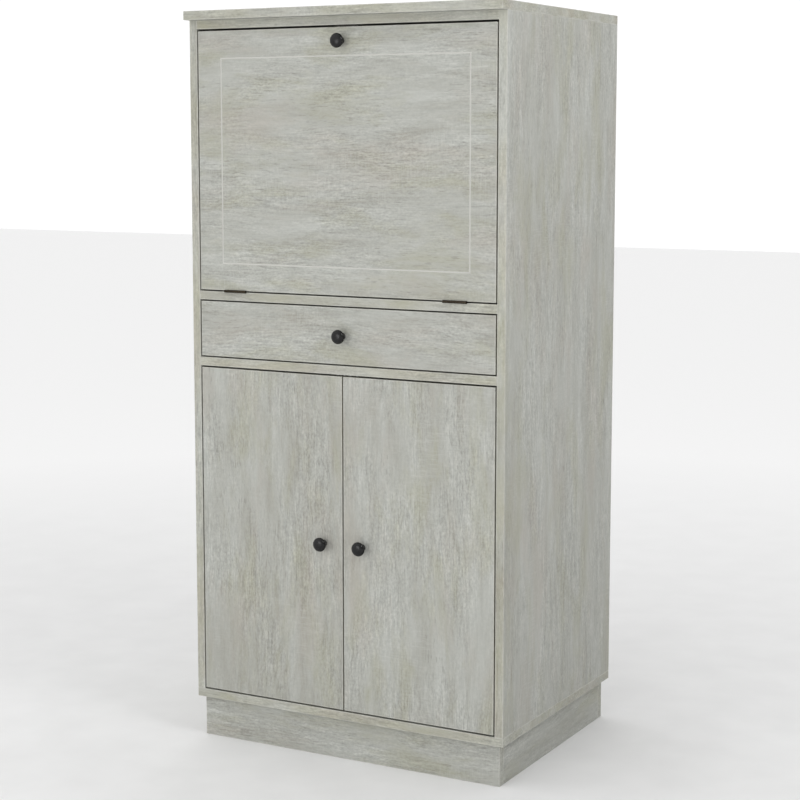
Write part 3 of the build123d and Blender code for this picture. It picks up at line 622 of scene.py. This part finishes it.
def cross(work, place, normal, radius, rise, material_index):
    """The cross recess in a screw's head: two tapered slots, in a near-black material that is painted shade.
    """
    turn = Vector(normal).to_track_quat("Z", "Y")
    arm, width = radius * 0.56, radius * 0.13
    for long_axis in (0, 1):
        corners = []
        for level, shrink in ((rise - 0.25 * MM, 0.5), (rise + 0.03 * MM, 1.0)):
            for sx, sy in ((-1, -1), (1, -1), (1, 1), (-1, 1)):
                x, y = (arm * shrink * sx, width * sy) if long_axis == 0 else (width * sx, arm * shrink * sy)
                corners.append(work.verts.new(Vector(place) + turn @ Vector((x, y, level))))
        quads = [(3, 2, 1, 0), (4, 5, 6, 7)] + [(i, (i + 1) % 4, (i + 1) % 4 + 4, i + 4) for i in range(4)]
        for quad in quads:
            face = work.faces.new([corners[i] for i in quad])
            face.material_index = material_index


def screw_heads(name, places, normal, size, body, slot, metals):
    """Pan-head screws that share one direction. The size is the head's radius and height."""
    radius, rise = size
    profile = [(radius * across, rise * up) for across, up in PAN_HEAD]

    def build(work):
        for place in places:
            lathe(work, place, normal, profile)
            cross(work, place, normal, radius, rise, 1)

    return new_piece(name, build, body, metals[slot])


def bevelled_block(work, lowest, highest, ease):
    """A block with eased edges."""
    lowest, highest = Vector(lowest), Vector(highest)
    made = bmesh.ops.create_cube(work, size=1.0)
    centre, size = (lowest + highest) / 2, highest - lowest
    for vert in made["verts"]:
        vert.co = Vector(vert.co[axis] * size[axis] + centre[axis] for axis in range(3))
    edges = {edge for vert in made["verts"] for edge in vert.link_edges}
    bmesh.ops.bevel(work, geom=list(edges), offset=ease, segments=2, profile=0.5, affect="EDGES")


def add_hinge_screws(side, metals):
    """The screws of one door's hinge plates, on the cabinet, and of its cups, on the door."""
    sign = SIDES[side]
    plates = "door_hinge_plates"
    rows = [low(plates).z + HINGE_ROW_INSET, high(plates).z - HINGE_ROW_INSET]
    x = sign * (INNER_X - PLATE_THICKNESS)
    y = middle(plates).y - PLATE_SCREW_SETBACK
    places = [(x, y, z + rise) for z in rows for rise in (-PLATE_SCREW_RISE, PLATE_SCREW_RISE)]
    name = f"door_hinge_plate_screws_{side}"
    screw_heads(name, places, (-sign, 0, 0), PLATE_SCREW, "root", "hinge_steel", metals)
    cups = f"door_hinge_cups_{side}"
    x, y = middle(cups).x, high(cups).y
    places = [(x, y, z + rise) for z in rows for rise in (-CUP_SCREW_RISE, CUP_SCREW_RISE)]
    name = f"door_hinge_cup_screws_{side}"
    screw_heads(name, places, INTO_DESK, CUP_SCREW, f"door_{side}", "hinge_steel", metals)


def add_strike_screw(side, metals):
    """The screw in the middle of one door's strike plate."""
    strike = f"door_strike_{side}"
    place = (middle(strike).x, high(strike).y, middle(strike).z)
    name = f"door_strike_screw_{side}"
    screw_heads(name, [place], INTO_DESK, DOOR_STRIKE_SCREW, f"door_{side}", "zinc_steel", metals)


def add_runner_screws(side, metals):
    """Three screws along one of the cabinet's runners."""
    sign = SIDES[side]
    runner = f"runner_cabinet_{side}"
    length = high(runner).y - low(runner).y
    x = sign * (INNER_X - RUNNER_THICKNESS)
    places = [(x, low(runner).y + length * part, middle(runner).z) for part in RUNNER_SCREW_PARTS]
    name = f"runner_screws_{side}"
    screw_heads(name, places, (-sign, 0, 0), RUNNER_SCREW, "root", "zinc_steel", metals)


def add_flap_screws(metals):
    """The screws of the stays' brackets and of the strike plate, on the flap's inner face."""
    y = low("stay_brackets").y + BRACKET_THICKNESS
    z = middle("stay_brackets").z
    places = [
        (sign * BRACKET_SCREW_X, y, z + rise)
        for sign in SIDES.values()
        for rise in (-BRACKET_SCREW_RISE, BRACKET_SCREW_RISE)
    ]
    screw_heads("stay_bracket_screws", places, INTO_DESK, BRACKET_SCREW, "flap", "zinc_steel", metals)
    strike = middle("flap_strike_plate")
    y = high("flap_strike_plate").y
    places = [(strike.x + offset, y, strike.z) for offset in (-FLAP_STRIKE_OFFSET, FLAP_STRIKE_OFFSET)]
    screw_heads("flap_strike_screws", places, INTO_DESK, FLAP_STRIKE_SCREW, "flap", "zinc_steel", metals)


def add_back_recesses(metals):
    """A cross recess in each screw of the back panel, in four rows of four, with painted shade in the cross.
    """
    rows = [middle(board).z for board in ("sub_top", "organizer_shelf", "desk_shelf", "drawer_divider")]
    first = low("back_panel_screws").x + BACK_SCREW_RADIUS
    last = high("back_panel_screws").x - BACK_SCREW_RADIUS
    y = high("back_panel_screws").y - 0.05 * MM
    rim = [(2.9 * MM, 0), (2.4 * MM, 0.12 * MM), (0, BACK_RECESS_RISE)]

    def build(work):
        for z in rows:
            for step in range(BACK_SCREWS_IN_ROW):
                x = first + (last - first) * step / (BACK_SCREWS_IN_ROW - 1)
                lathe(work, (x, y, z), INTO_DESK, rim)
                cross(work, (x, y, z), INTO_DESK, BACK_SCREW_RADIUS, BACK_RECESS_RISE, 1)

    new_piece("back_screw_recesses", build, "root", metals["zinc_steel"])


def add_catch_poles(catch, spots, pole_steel):
    """The magnet's poles, which stand just proud of a catch's face."""
    z = middle(catch).z
    face = low(catch).y

    def build(work):
        for spot in spots:
            lowest = (spot * MM - POLE_HALF_WIDTH, face - POLE_PROUD, z - POLE_HALF_HEIGHT)
            highest = (spot * MM + POLE_HALF_WIDTH, face + POLE_DEPTH, z + POLE_HALF_HEIGHT)
            bevelled_block(work, lowest, highest, POLE_EASE)

    new_piece(f"{catch}_poles", build, "root", [pole_steel])


def add_hardware(shared):
    """Screws, magnet poles and recesses on the fittings."""
    # A near-black material for painted shade in the cross recesses.
    recess = speckled(
        "recess_painted_shade", (0.01, 0.01, 0.01), (0.03, 0.03, 0.03), (0.5, 0.7), (900, 900, 900), 0.00002,
    )
    metals = {slot: [shared[slot], recess] for slot in ("zinc_steel", "hinge_steel")}
    for side in SIDES:
        add_hinge_screws(side, metals)
        add_strike_screw(side, metals)
        add_runner_screws(side, metals)
    add_flap_screws(metals)
    add_back_recesses(metals)
    for catch, spots in CATCH_POLES.items():
        add_catch_poles(catch, spots, shared["zinc_steel"])


add_camera()
add_studio()
finishes = dress_nodes()
add_hardware(finishes)
